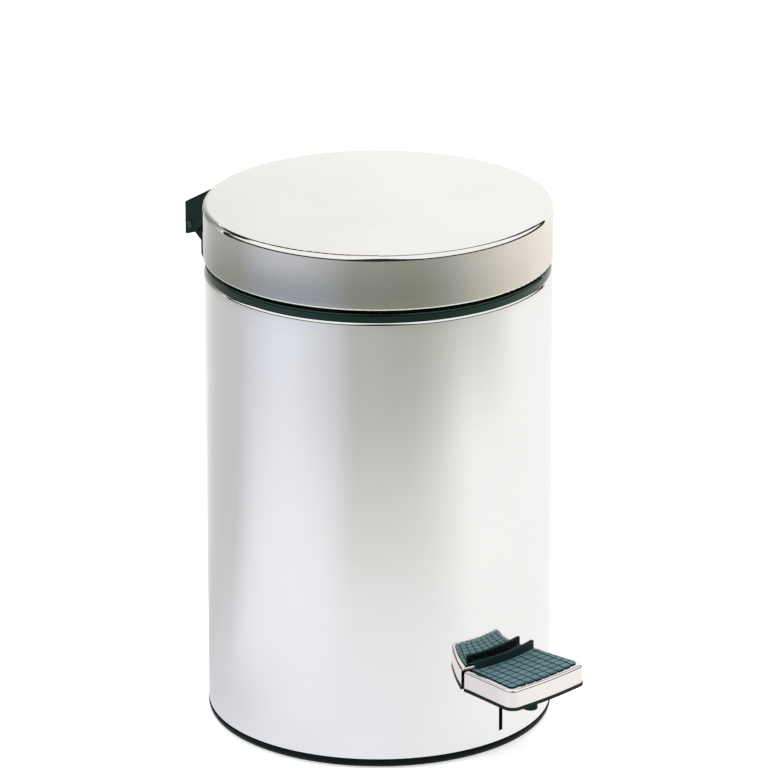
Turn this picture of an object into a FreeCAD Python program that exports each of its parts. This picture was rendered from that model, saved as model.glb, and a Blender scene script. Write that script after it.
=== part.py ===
"""A small round pedal bin in sheet steel: shell, hinged lid, pedal linkage and lift-out bucket.

Millimetres, +Z up. The origin is on the floor at the middle of the base, the pedal points along -Y
and the lid's hinge is at +Y. The lid is shut and the pedal is up.
"""
import FreeCAD
import Part
import math
import os

Vec = FreeCAD.Vector

# Steel shell
body_radius = 84.0
sheet = 0.6
steel_length = 222.4
shoulder_radius = 1.5
collar_width = 4.1
bottom_hem = 2.2

# Plastic base
foot_height = 4.2
foot_inset = -0.2
foot_ring_width = 8.0
foot_edge = 3.2
floor_recess = 1.2
floor_thickness = 2.0
base_wall = 2.0
base_wall_height = 9.8
snap_height = 1.4
snap_bead = 0.8
rib_height = 5.0
rib_width = 1.6

# Plastic rim ring
rim_height = 4.2
rim_inset = 0.6
rim_lip = 2.4
rim_ledge_width = 5.0
rim_ledge_drop = 1.7
rim_wall = 1.8
rim_skirt = 8.7

# Lid
lid_gap = 1.7
lid_skirt = 24.4
lid_overhang = 0.3
lid_edge_radius = 2.5
lid_dome = 3.0
lid_hem_height = 1.4
lid_hem_width = 1.0
lid_hem_roll = 0.9

# Hinge
hinge_reach = 14.7
hinge_width = 65.0
hinge_pin_radius = 1.25
hinge_head_radius = 1.8
hinge_head_height = 0.7
cheek_thickness = 2.3
cheek_nose = 3.1
cheek_drop = 5.8
cover_thickness = 2.0
cover_outer_height = 11.0
cover_inner_height = 23.2
cover_level = 3.5
cover_lip = 4.6
flange_height = 14.0
flange_bottom_rise = 3.5
ear_thickness = 3.0
ear_nose_radius = 3.5
ear_reach = 9.6
ear_drop = 14.9
plate_thickness = 2.5
plate_height = 17.0
plate_top_drop = 7.5
hinge_rivet_margin = 4.2
rivet_shank = 2.0
rivet_head = 3.6
rivet_head_height = 1.3
finger_rivet_radius = 1.3
rib_edge = 3.2

# Lift linkage
fulcrum_y = -21.0
fulcrum_z = 25.0
pedal_swing = 17.0
rod_radius = 1.5
rod_inset = 5.4
rod_side = 4.2
rod_bend = 3.2
hook_overrun = 1.6
finger_thickness = 3.0
finger_depth = 4.0
finger_play = 1.2
finger_overrun = 1.0
finger_hub_radius = 4.6
fulcrum_pin_radius = 2.0
bush_wall = 1.5
bracket_sheet = 1.5
bracket_gap = 8.0
bracket_length = 16.0
bracket_flange = 8.0
screw_radius = 1.5
screw_head_radius = 3.0
screw_head_height = 1.8
guide_width = 12.0
guide_height = 9.0
guide_sheet = 1.2
guide_level = 118.0

# Pedal
pedal_gap = 1.5
pedal_reach = 34.2
pedal_rear_half = 23.2
pedal_front_half = 25.7
pedal_corner = 5.0
pedal_bulge = 1.6
pedal_base_z = 36.2
tray_flange = 1.5
tray_proud = 0.4
pedal_height = 9.1
pedal_edge = 1.4
pedal_sheet = 0.8
pad_frame = 2.8
pad_proud = 0.7
pad_flange = 1.2
pad_flange_reach = 0.9
tread_lane = 5.2
tread_lane_width = 0.8
tread_lane_depth = 0.6
tread_row = 4.0
tread_row_width = 0.6
tread_row_depth = 0.4
lip_height = 4.4
lip_thickness = 1.8
lip_end = 0.8
boss_half = 3.5
boss_depth = 8.9
boss_length = 22.0
boss_setback = 1.8
pocket_wall = 2.2
pocket_depth = 5.0
lever_thickness = 1.8
lever_depth = 6.6
lever_eye_radius = 3.6
lever_hub_wall = 3.2
lever_blend = 30.0
lever_bend = 20.0
lever_bend_inset = 6.0
slot_play = 0.3
slot_bottom = 9.8
slot_headroom = 1.8
pedal_rivet_radius = 1.3

# Bucket and bail
bucket_foot = 41.0
bucket_ring_gap = 7.0
bucket_taper = 7.0
bucket_wall = 1.5
bucket_corner = 5.0
bucket_flange = 1.6
bail_wire_radius = 1.4
bail_bend = 2.4
bail_lift = 0.4
ear_block = 3.0
ear_length = 9.0
ear_crown = 3.2

# Clearances
running_fit = 0.05
seat_fit = 0.1
free_gap = 0.4
notch_play = 2.0
bucket_play = 0.8
flange_play = 3.2
bucket_seat = 0.3
side_play = 0.3

# Levels and radii that follow from the sizes above
steel_bottom = foot_height
steel_top = steel_bottom + steel_length
body_inner = body_radius - sheet
collar_radius = body_radius - collar_width
rim_top = steel_top + rim_height
rim_radius = body_radius - rim_inset
ledge_z = rim_top - rim_ledge_drop
ledge_outer = rim_radius - rim_lip
ledge_inner = ledge_outer - rim_ledge_width
bucket_top_radius = ledge_inner - bucket_ring_gap
bucket_bottom_radius = bucket_top_radius - bucket_taper
lid_bottom = rim_top + lid_gap
lid_radius = body_radius + lid_overhang
lid_edge = lid_bottom + lid_skirt
lid_top_edge = lid_edge + lid_edge_radius
floor_top = floor_recess + floor_thickness
foot_radius = body_radius - foot_inset
hem_radius = body_radius - bottom_hem
pivot_y = body_radius + hinge_reach
pivot_z = lid_bottom
cheek_outer = hinge_width / 2
cheek_inner = cheek_outer - cheek_thickness
ear_outer = cheek_inner - free_gap
ear_inner = ear_outer - ear_thickness
hinge_rivet_spread = ear_inner - rivet_head - hinge_rivet_margin

# The linkage: the rod stands upright on the lever's rear eye, which swings evenly about level
rod_y = body_inner - rod_inset
rear_arm = rod_y - fulcrum_y
half_swing = math.radians(pedal_swing / 2)
eye_y = fulcrum_y + rear_arm * math.cos(half_swing)
eye_z = fulcrum_z - rear_arm * math.sin(half_swing)
rod_rise = pivot_z - fulcrum_z
rod_top_z = eye_z + rod_rise
finger_reach = math.hypot(pivot_y - eye_y, pivot_z - rod_top_z)
finger_tilt = math.atan2(pivot_z - rod_top_z, pivot_y - eye_y)
lid_swing = 2 * math.degrees(finger_tilt)
notch_half = rod_side + rod_radius + notch_play
finger_notch_half = finger_thickness / 2 + notch_play

bracket_foot = bracket_gap / 2 + bracket_sheet + bracket_flange

# The pedal's levels
pedal_top_z = pedal_base_z + tray_flange + pedal_height
pedal_rear = body_radius + pedal_gap
pedal_front = body_radius + pedal_reach
tray_top = pedal_base_z + tray_flange
pad_bed = pedal_top_z - pedal_sheet - pad_flange
pad_top = pedal_top_z + pad_proud
lever_front = pedal_rear + boss_length - boss_half - free_gap
lever_top = pedal_base_z - 0.2
slot_half = lever_thickness / 2 + slot_play


def corner_arcs(points):
    """A closed 2-D outline as edges in the XY plane; a third number on a point rounds its corner."""
    cut = []
    count = len(points)
    for i, point in enumerate(points):
        here = Vec(point[0], point[1], 0)
        radius = point[2] if len(point) > 2 else 0
        before = Vec(*points[i - 1][:2], 0) - here
        after = Vec(*points[(i + 1) % count][:2], 0) - here
        if radius <= 0:
            cut.append((here, None, here))
            continue
        half = before.getAngle(after) / 2
        before.normalize()
        after.normalize()
        reach = radius / math.tan(half)
        bisector = (before + after).normalize()
        crown = here + bisector * (radius / math.sin(half) - radius)
        cut.append((here + before * reach, crown, here + after * reach))
    edges = []
    for i, (start, crown, end) in enumerate(cut):
        if crown is not None:
            edges.append(Part.Arc(start, crown, end).toShape())
        following = cut[(i + 1) % count][0]
        if (following - end).Length > 1e-6:
            edges.append(Part.LineSegment(end, following).toShape())
    return edges


def outline(points):
    """A flat face in the XY plane from a rounded outline."""
    return Part.Face(Part.Wire(corner_arcs(points)))


def turned(points):
    """A solid of revolution about Z from (radius, height) points."""
    face = outline(points)
    face.rotate(Vec(0, 0, 0), Vec(1, 0, 0), 90)
    return face.revolve(Vec(0, 0, 0), Vec(0, 0, 1), 360)


def plate(points, x_low, x_high):
    """A plate square to X from (y, z) points, between two x positions."""
    face = outline(points)
    face.rotate(Vec(0, 0, 0), Vec(1, 1, 1), 120)
    face.translate(Vec(x_low, 0, 0))
    return face.extrude(Vec(x_high - x_low, 0, 0))


def block(x_low, x_high, y_low, y_high, z_low, z_high):
    """A box between two corners."""
    return Part.makeBox(x_high - x_low, y_high - y_low, z_high - z_low, Vec(x_low, y_low, z_low))


def rod_along_x(radius, x_low, x_high, y, z):
    """A round bar along X."""
    return Part.makeCylinder(radius, x_high - x_low, Vec(x_low, y, z), Vec(1, 0, 0))


def tube_between(outer, inner, z_low, z_high):
    """A plain ring about Z."""
    ring = Part.makeCylinder(outer, z_high - z_low, Vec(0, 0, z_low))
    return ring.cut(Part.makeCylinder(inner, z_high - z_low, Vec(0, 0, z_low)))


def mirrored(shape):
    """The shape and its mirror image across the plane x = 0."""
    return [shape, shape.mirror(Vec(0, 0, 0), Vec(1, 0, 0))]


def save(name, *solids):
    """Writes one node from its separate solids."""
    shape = solids[0] if len(solids) == 1 else Part.makeCompound(list(solids))
    shape = shape.removeSplitter()
    faulty = [s for s in shape.Solids if not s.isValid() or s.Volume <= 0]
    if faulty or not shape.Solids:
        raise ValueError(name + " has no valid solid")
    shape.exportStep(os.path.join("parts", name + ".step"))
    print(name, len(shape.Solids), "solid(s)", round(shape.Volume), "mm3")


# Shell

def hinge_rivet_level():
    """Height of the rivets that hold the hinge plate to the shell."""
    return steel_top - plate_top_drop - plate_height / 2


def body_shell():
    """The rolled tube with its rounded shoulder, inward collar and bottom hem."""
    shell = turned([
        (hem_radius, steel_bottom),
        (body_radius, steel_bottom, sheet + 0.4),
        (body_radius, steel_top, shoulder_radius),
        (collar_radius, steel_top),
        (collar_radius, steel_top - sheet),
        (body_inner, steel_top - sheet, shoulder_radius - sheet),
        (body_inner, steel_bottom + sheet, 0.4),
        (hem_radius, steel_bottom + sheet),
    ])
    lever_slot = block(-slot_half, slot_half, -body_radius - 1, -body_inner + 4,
                       slot_bottom, lever_top + slot_headroom)
    finger_notch = block(-finger_notch_half, finger_notch_half, collar_radius - 4, body_radius + 1,
                         finger_floor(body_radius) - notch_play, steel_top + 1)
    shell = shell.cut(lever_slot).cut(finger_notch)
    for hole in rivet_holes(body_radius, plate_thickness, hinge_rivet_level()):
        shell = shell.cut(hole)
    return shell


def rivet_turn(radius):
    """Angle about Z of a hinge rivet, in degrees, at the given wall radius."""
    return math.degrees(math.asin(hinge_rivet_spread / radius))


def rivet_holes(wall_radius, thickness, level):
    """The pair of rivet holes through a round wall and the plastic plate outside it."""
    holes = []
    depth = thickness + 2 * rivet_head
    for side in (-1, 1):
        hole = Part.makeCylinder(rivet_shank + running_fit, depth, Vec(0, wall_radius - rivet_head, 0), Vec(0, 1, 0))
        hole.rotate(Vec(0, 0, 0), Vec(0, 0, 1), -side * rivet_turn(wall_radius))
        hole.translate(Vec(0, 0, level))
        holes.append(hole)
    return holes


def hinge_rivet(wall_radius, thickness, side, level):
    """A pop rivet square to a round wall, with a domed head inside the steel and one outside the plastic."""
    inner = math.sqrt((wall_radius - sheet) ** 2 - rivet_head ** 2) - running_fit
    outer = wall_radius + seat_fit + thickness
    shank = Part.makeCylinder(rivet_shank, outer - inner, Vec(0, inner, 0), Vec(0, 1, 0))
    dome = Part.makeSphere((rivet_head ** 2 + rivet_head_height ** 2) / (2 * rivet_head_height))
    dome.translate(Vec(0, -dome.BoundBox.YMax + rivet_head_height, 0))
    dome = dome.common(block(-rivet_head, rivet_head, 0, rivet_head_height, -rivet_head, rivet_head))
    outside = dome.translated(Vec(0, outer, 0))
    inside = dome.mirror(Vec(0, 0, 0), Vec(0, 1, 0)).translated(Vec(0, inner, 0))
    rivet = shank.fuse(outside).fuse(inside)
    rivet.rotate(Vec(0, 0, 0), Vec(0, 0, 1), -side * rivet_turn(wall_radius))
    rivet.translate(Vec(0, 0, level))
    return rivet


def body_hinge_rivets():
    """Two pop rivets through the shell and the hinge bracket's plate."""
    level = hinge_rivet_level()
    return [hinge_rivet(body_radius, plate_thickness, side, level) for side in (-1, 1)]


def lid_hinge_rivets():
    """Two pop rivets through the lid's skirt and the hinge cover's flange."""
    level = lid_rivet_level()
    return [hinge_rivet(lid_radius, cover_thickness, side, level) for side in (-1, 1)]


def rim_ring():
    """The plastic ring on the collar: a band that shows, a ledge for the bucket and a locating skirt."""
    ring = turned([
        (rim_radius, steel_top),
        (rim_radius, rim_top, 1.2),
        (ledge_outer, rim_top, 0.4),
        (ledge_outer, ledge_z),
        (ledge_inner, ledge_z, 0.5),
        (ledge_inner, ledge_z - rim_wall, 0.4),
        (collar_radius - seat_fit - rim_wall, ledge_z - rim_wall),
        (collar_radius - seat_fit - rim_wall, steel_top - rim_skirt),
        (collar_radius - seat_fit, steel_top - rim_skirt, 0.5),
        (collar_radius - seat_fit, steel_top),
    ])
    notch = block(-notch_half, notch_half, ledge_inner - 5, body_radius, steel_top - rim_skirt - 1, rim_top + 1)
    return ring.cut(notch)


def base_cup():
    """The plastic base: foot ring, recessed floor with ribs, and a wall that snaps over the steel hem."""
    wall_radius = hem_radius - seat_fit
    wall_top = steel_bottom + base_wall_height
    snap_low = steel_bottom + sheet + seat_fit
    cup = turned([
        (0, floor_recess),
        (foot_radius - foot_ring_width, floor_recess),
        (foot_radius - foot_ring_width, 0),
        (foot_radius, 0, foot_edge),
        (foot_radius, steel_bottom, 0.5),
        (wall_radius, steel_bottom),
        (wall_radius, snap_low),
        (wall_radius + snap_bead, snap_low, 0.3),
        (wall_radius, snap_low + snap_height),
        (wall_radius, wall_top, 0.6),
        (wall_radius - base_wall, wall_top, 0.6),
        (wall_radius - base_wall, floor_top, 1.0),
        (0, floor_top),
    ])
    rib_start = math.hypot(bracket_foot, abs(fulcrum_y) + bracket_length / 2) + notch_play
    rib_end = wall_radius - base_wall / 2
    for turn in (25, 65, 115, 155, 205, 245, 295, 335):
        rib = block(rib_start, rib_end, -rib_width / 2, rib_width / 2, floor_top - 0.5, floor_top + rib_height)
        rib.rotate(Vec(0, 0, 0), Vec(0, 0, 1), turn)
        cup = cup.fuse(rib)
    front_notch = block(-slot_half - notch_play, slot_half + notch_play, -body_radius, -wall_radius + base_wall + 3,
                        slot_bottom - notch_play, wall_top + 1)
    rear_notch = block(-notch_half, notch_half, wall_radius - base_wall - 4, body_radius,
                       steel_bottom + sheet + seat_fit + snap_height, wall_top + 1)
    cup = cup.cut(front_notch).cut(rear_notch)
    for x in screw_places():
        cup = cup.cut(Part.makeCylinder(screw_radius + running_fit, floor_thickness + 2, Vec(x, fulcrum_y, 0)))
    return cup


# Lid

def lid_shell():
    """The drawn lid: skirt with a folded hem, a rolled edge and a shallow crown."""
    outer = lid_solid(lid_radius, lid_edge_radius, lid_top_edge, lid_dome, lid_bottom)
    inner = lid_solid(lid_radius - sheet, lid_edge_radius - sheet, lid_top_edge - sheet, lid_dome, lid_bottom - 1)
    hem = turned([
        (lid_radius - sheet / 2, lid_bottom),
        (lid_radius - sheet - lid_hem_width, lid_bottom, 0.5),
        (lid_radius - sheet - lid_hem_width, lid_bottom + lid_hem_height, 0.5),
        (lid_radius - sheet / 2, lid_bottom + lid_hem_height),
    ])
    shell = outer.cut(inner).fuse(hem).removeSplitter()
    lower_edge = [edge for edge in shell.Edges
                  if edge.BoundBox.ZMax < lid_bottom + 0.01 and edge.BoundBox.XMax > lid_radius - 0.01]
    shell = shell.makeFillet(lid_hem_roll, lower_edge)
    for hole in rivet_holes(lid_radius, cover_thickness, lid_rivet_level()):
        shell = shell.cut(hole)
    return shell


def lid_solid(radius, edge, top_edge, dome, bottom):
    """A full lid form: cylinder, rounded edge and spherical crown."""
    flat = radius - edge
    side = Part.LineSegment(Vec(radius, 0, bottom), Vec(radius, 0, top_edge - edge)).toShape()
    lean = math.sqrt(0.5) * edge
    corner = Part.Arc(Vec(radius, 0, top_edge - edge), Vec(flat + lean, 0, top_edge - edge + lean),
                      Vec(flat, 0, top_edge)).toShape()
    crown_radius = (flat ** 2 + dome ** 2) / (2 * dome)
    middle = flat / 2
    rise = top_edge + dome - crown_radius + math.sqrt(crown_radius ** 2 - middle ** 2)
    crown = Part.Arc(Vec(flat, 0, top_edge), Vec(middle, 0, rise), Vec(0, 0, top_edge + dome)).toShape()
    axis = Part.LineSegment(Vec(0, 0, top_edge + dome), Vec(0, 0, bottom)).toShape()
    floor = Part.LineSegment(Vec(0, 0, bottom), Vec(radius, 0, bottom)).toShape()
    face = Part.Face(Part.Wire([side, corner, crown, axis, floor]))
    return face.revolve(Vec(0, 0, 0), Vec(0, 0, 1), 360)


# Hinge

def lid_rivet_level():
    """Height of the rivets that hold the hinge cover to the lid's skirt."""
    return lid_bottom + flange_bottom_rise + flange_height / 2


def cover_root():
    """Where the cover's cheeks start, just inside the lid's skirt."""
    return math.sqrt(lid_radius ** 2 - cheek_outer ** 2) - 1


def roof_height(y):
    """Height of the cover's sloping roof at a distance along Y."""
    start = cover_root() + cover_level
    slope = (cover_inner_height - cover_outer_height) / (pivot_y + cheek_nose - start)
    return pivot_z + cover_inner_height - max(0, y - start) * slope


def cheek_outline():
    """The hinge cover's side outline in (y, z): sloping roof, upright back and a nose round the pin."""
    inner = cover_root()
    back = pivot_y + cheek_nose
    return [
        (inner, pivot_z + flange_bottom_rise),
        (inner, roof_height(inner)),
        (inner + cover_level, roof_height(inner)),
        (back, roof_height(back), 0.8),
        (back, pivot_z - cheek_drop, 0.8),
        (pivot_y - cheek_nose, pivot_z - ear_nose_radius, 0.8),
        (pivot_y - 3.5 * cheek_nose, pivot_z + flange_bottom_rise),
    ]


def lid_hinge_cover():
    """The plastic cover on the lid: curved flange, two cheeks, sloping roof and finger ribs."""
    cover_low = pivot_z + flange_bottom_rise
    flange = tube_between(lid_radius + seat_fit + cover_thickness, lid_radius + seat_fit,
                          cover_low, cover_low + flange_height)
    flange = flange.common(block(-cheek_outer, cheek_outer, 0, 2 * body_radius, 0, 2 * pivot_z))
    cover = flange
    for cheek in mirrored(plate(cheek_outline(), cheek_inner, cheek_outer)):
        cover = cover.fuse(cheek)
    inner = cover_root()
    start = inner + cover_level
    back = pivot_y + cheek_nose
    roof = plate([
        (inner, roof_height(inner)),
        (start, roof_height(inner)),
        (back, roof_height(back), 0.8),
        (back, pivot_z + cover_lip),
        (back - cover_thickness, pivot_z + cover_lip),
        (back - cover_thickness, roof_height(back - cover_thickness) - cover_thickness),
        (start, roof_height(inner) - cover_thickness),
        (inner, roof_height(inner) - cover_thickness),
    ], -cheek_outer, cheek_outer)
    cover = cover.fuse(roof)
    rib_tip = back - cover_thickness
    rib_start = finger_thickness / 2 + seat_fit
    for rib in mirrored(plate([
        (lid_radius, cover_low),
        (lid_radius, roof_height(lid_radius) - 1),
        (rib_tip, roof_height(rib_tip) - 1),
        (rib_tip, finger_rivet_z() - rib_edge),
        (finger_rivet_y(), finger_rivet_z() - rib_edge),
        (lid_radius + cover_thickness + 1, cover_low),
    ], rib_start, rib_start + cover_thickness)):
        cover = cover.fuse(rib)
    clear_of_lid = Part.makeCylinder(lid_radius + seat_fit, 3 * pivot_z)
    cover = cover.cut(clear_of_lid)
    cover = cover.cut(rod_along_x(hinge_pin_radius + running_fit, -hinge_width, hinge_width, pivot_y, pivot_z))
    finger_rivet_hole = rod_along_x(finger_rivet_radius + running_fit, -hinge_width / 4, hinge_width / 4,
                                    finger_rivet_y(), finger_rivet_z())
    cover = cover.cut(finger_rivet_hole)
    for hole in rivet_holes(lid_radius, cover_thickness, lid_rivet_level()):
        cover = cover.cut(hole)
    return cover


def finger_rivet_y():
    """Where the finger's tail is riveted between the cover's two ribs."""
    return pivot_y - 5.5


def finger_rivet_z():
    """Height of the finger's rivet."""
    return roof_height(finger_rivet_y()) - cover_thickness - 2 * finger_rivet_radius - 1


def finger_floor(radius):
    """Height of the finger's underside, lid shut, where it passes the given radius."""
    run = pivot_y - radius
    return pivot_z - run * math.tan(finger_tilt) + (rod_radius + finger_play) / math.cos(finger_tilt)


def lift_finger():
    """The steel finger that the rod pushes: a hub on the hinge pin, an arm inside the shell and a tail."""
    underside = rod_radius + finger_play
    length = finger_reach + finger_overrun
    arm = Part.makeBox(finger_thickness, length, finger_depth,
                       Vec(-finger_thickness / 2, -length, underside))
    tip = [e for e in arm.Edges if all(abs(v.Point.y + length) < 1e-6 for v in e.Vertexes)
           and abs(e.Vertexes[0].Point.z - e.Vertexes[1].Point.z) < 1e-6]
    arm = arm.makeFillet(finger_depth / 3, tip)
    arm.rotate(Vec(0, 0, 0), Vec(1, 0, 0), math.degrees(finger_tilt))
    arm.translate(Vec(0, pivot_y, pivot_z))
    hub = rod_along_x(finger_hub_radius, -finger_thickness / 2, finger_thickness / 2, pivot_y, pivot_z)
    tail_back = finger_rivet_y() + 2 * finger_rivet_radius + 1
    tail_front = finger_rivet_y() - 2 * finger_rivet_radius - 1
    tail_drop = cover_thickness + seat_fit
    tail = plate([
        (tail_front, pivot_z),
        (tail_front, roof_height(tail_front) - tail_drop - 0.4, 1),
        (tail_back, roof_height(tail_back) - tail_drop - 0.4, 1),
        (pivot_y, pivot_z),
    ], -finger_thickness / 2, finger_thickness / 2)
    finger = arm.fuse(hub).fuse(tail)
    finger = finger.cut(rod_along_x(hinge_pin_radius + running_fit, -hinge_width, hinge_width, pivot_y, pivot_z))
    return finger.cut(rod_along_x(finger_rivet_radius + running_fit, -hinge_width, hinge_width,
                                  finger_rivet_y(), finger_rivet_z()))


def finger_rivet():
    """The small rivet through the finger's tail and the cover's ribs."""
    outer = finger_thickness / 2 + seat_fit + cover_thickness
    rivet = rod_along_x(finger_rivet_radius, -outer, outer, finger_rivet_y(), finger_rivet_z())
    for side in (-1, 1):
        head = Part.makeCone(2 * finger_rivet_radius, finger_rivet_radius, 1.0,
                             Vec(side * outer, finger_rivet_y(), finger_rivet_z()), Vec(side, 0, 0))
        rivet = rivet.fuse(head)
    return rivet


def body_hinge_bracket():
    """The plastic bracket on the shell: curved plate and two ears that carry the hinge pin."""
    plate_top = steel_top - plate_top_drop
    plate_low = plate_top - plate_height
    inner = body_radius + seat_fit
    back_plate = tube_between(inner + plate_thickness, inner, plate_low, plate_top)
    back_plate = back_plate.common(block(-ear_outer, ear_outer, 0, 2 * body_radius, 0, 2 * pivot_z))
    root = math.sqrt(body_radius ** 2 - ear_outer ** 2) - 1
    ear = plate([
        (root, plate_low),
        (root + 4, plate_low, 1),
        (body_radius + ear_reach, pivot_z - ear_drop, 2),
        (body_radius + ear_reach, pivot_z - 2.2 * ear_nose_radius, 1),
        (pivot_y + 0.3 * ear_nose_radius, pivot_z - 0.9 * ear_nose_radius),
        (pivot_y - 0.3 * ear_nose_radius, pivot_z + 0.9 * ear_nose_radius),
        (root + 4, plate_top, 1),
        (root, plate_top),
    ], ear_inner, ear_outer)
    nose = rod_along_x(ear_nose_radius, ear_inner, ear_outer, pivot_y, pivot_z)
    bracket = back_plate
    for piece in mirrored(ear.fuse(nose)):
        bracket = bracket.fuse(piece)
    bracket = bracket.cut(Part.makeCylinder(inner, 3 * pivot_z))
    bracket = bracket.cut(rod_along_x(hinge_pin_radius + running_fit, -hinge_width, hinge_width, pivot_y, pivot_z))
    for hole in rivet_holes(body_radius, plate_thickness, hinge_rivet_level()):
        bracket = bracket.cut(hole)
    return bracket


def hinge_pin():
    """The long pin with a domed head at one end."""
    end = cheek_outer + free_gap
    pin = rod_along_x(hinge_pin_radius, -end, end + 2 * hinge_head_height, pivot_y, pivot_z)
    head = Part.makeCone(hinge_head_radius, hinge_head_radius * 0.6, hinge_head_height,
                         Vec(-end, pivot_y, pivot_z), Vec(-1, 0, 0))
    return pin.fuse(head)


def hinge_pin_cap():
    """The push-on cap at the pin's plain end."""
    start = cheek_outer + free_gap
    cap = Part.makeCone(hinge_head_radius, hinge_head_radius * 0.8, 2 * hinge_head_height + 1,
                        Vec(start, pivot_y, pivot_z), Vec(1, 0, 0))
    return cap.cut(rod_along_x(hinge_pin_radius + running_fit, 0, start + 2 * hinge_head_height + running_fit,
                               pivot_y, pivot_z))


# Linkage

def lift_rod():
    """The wire rod: a hook through the lever's eye, a long upright and a hook under the lift finger."""
    hook = -(lever_thickness / 2 + rod_radius + hook_overrun)
    low = Vec(hook, eye_y, eye_z)
    high = Vec(hook, eye_y, rod_top_z)
    bend = rod_bend * (1 - math.sqrt(0.5))
    edges = [
        Part.LineSegment(low, Vec(rod_side - rod_bend, eye_y, eye_z)).toShape(),
        Part.Arc(Vec(rod_side - rod_bend, eye_y, eye_z), Vec(rod_side - bend, eye_y, eye_z + bend),
                 Vec(rod_side, eye_y, eye_z + rod_bend)).toShape(),
        Part.LineSegment(Vec(rod_side, eye_y, eye_z + rod_bend),
                         Vec(rod_side, eye_y, rod_top_z - rod_bend)).toShape(),
        Part.Arc(Vec(rod_side, eye_y, rod_top_z - rod_bend), Vec(rod_side - bend, eye_y, rod_top_z - bend),
                 Vec(rod_side - rod_bend, eye_y, rod_top_z)).toShape(),
        Part.LineSegment(Vec(rod_side - rod_bend, eye_y, rod_top_z), high).toShape(),
    ]
    section = Part.Wire(Part.makeCircle(rod_radius, low, Vec(1, 0, 0)))
    return Part.Wire(edges).makePipeShell([section], True, False)


def rod_guide():
    """A bent strip on the shell's back wall that keeps the rod upright."""
    slack = rear_arm * (1 - math.cos(half_swing))
    front = eye_y - rod_radius - free_gap
    back = eye_y + slack + rod_radius + free_gap
    wall = math.sqrt(body_inner ** 2 - (rod_side + guide_width / 2) ** 2) - seat_fit
    low, high = guide_level, guide_level + guide_height
    strip = block(rod_side - guide_width / 2, rod_side + guide_width / 2, front - guide_sheet, wall, low, high)
    opening = block(rod_side - rod_radius - free_gap, rod_side + rod_radius + free_gap, front, back, low - 1, high + 1)
    return strip.cut(opening).common(Part.makeCylinder(body_inner - seat_fit, 3 * pivot_z))


def screw_places():
    """The two screws of the fulcrum bracket, as x positions."""
    reach = bracket_gap / 2 + bracket_sheet + bracket_flange / 2
    return (-reach, reach)


def fulcrum_bracket():
    """The steel bracket on the base floor: two upright cheeks with outward feet."""
    half = bracket_gap / 2
    low = floor_top
    cheek = plate([
        (fulcrum_y - bracket_length / 2, low),
        (fulcrum_y + bracket_length / 2, low),
        (fulcrum_y + bracket_length / 4, fulcrum_z + 5, 3),
        (fulcrum_y - bracket_length / 4, fulcrum_z + 5, 3),
    ], half, half + bracket_sheet)
    pieces = mirrored(cheek)
    web = block(-bracket_foot, bracket_foot, fulcrum_y - bracket_length / 2, fulcrum_y + bracket_length / 2,
                low, low + bracket_sheet)
    bracket = web
    for piece in pieces:
        bracket = bracket.fuse(piece)
    bracket = bracket.cut(rod_along_x(fulcrum_pin_radius + running_fit, -bracket_foot, bracket_foot, fulcrum_y, fulcrum_z))
    for x in screw_places():
        bracket = bracket.cut(Part.makeCylinder(screw_radius + running_fit, 10, Vec(x, fulcrum_y, low - 1)))
    return bracket


def fulcrum_screws():
    """Two pan-head screws through the bracket's feet into the floor."""
    screws = []
    seat = floor_top + bracket_sheet
    for x in screw_places():
        shank = Part.makeCylinder(screw_radius, seat - floor_recess - 0.2, Vec(x, fulcrum_y, floor_recess + 0.2))
        head = Part.makeCone(screw_head_radius, screw_head_radius * 0.75, screw_head_height, Vec(x, fulcrum_y, seat))
        slot = block(x - screw_head_radius, x + screw_head_radius, fulcrum_y - 0.4, fulcrum_y + 0.4,
                     seat + screw_head_height - 0.8, seat + screw_head_height + 1)
        screws.append(shank.fuse(head).cut(slot))
    return screws


def fulcrum_pin():
    """The lever's pivot pin, headed at both ends outside the bracket."""
    end = bracket_gap / 2 + bracket_sheet + seat_fit
    pin = rod_along_x(fulcrum_pin_radius, -end, end, fulcrum_y, fulcrum_z)
    for side in (-1, 1):
        head = Part.makeCone(fulcrum_pin_radius * 1.7, fulcrum_pin_radius * 1.3, 1.2,
                             Vec(side * end, fulcrum_y, fulcrum_z), Vec(side, 0, 0))
        pin = pin.fuse(head)
    return pin


def fulcrum_bush():
    """The plastic sleeve that centres the lever between the bracket's cheeks."""
    half = bracket_gap / 2 - side_play
    outer = fulcrum_pin_radius + running_fit + bush_wall
    bush = rod_along_x(outer, -half, half, fulcrum_y, fulcrum_z)
    return bush.cut(rod_along_x(fulcrum_pin_radius + running_fit, -half - 1, half + 1, fulcrum_y, fulcrum_z))


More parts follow.
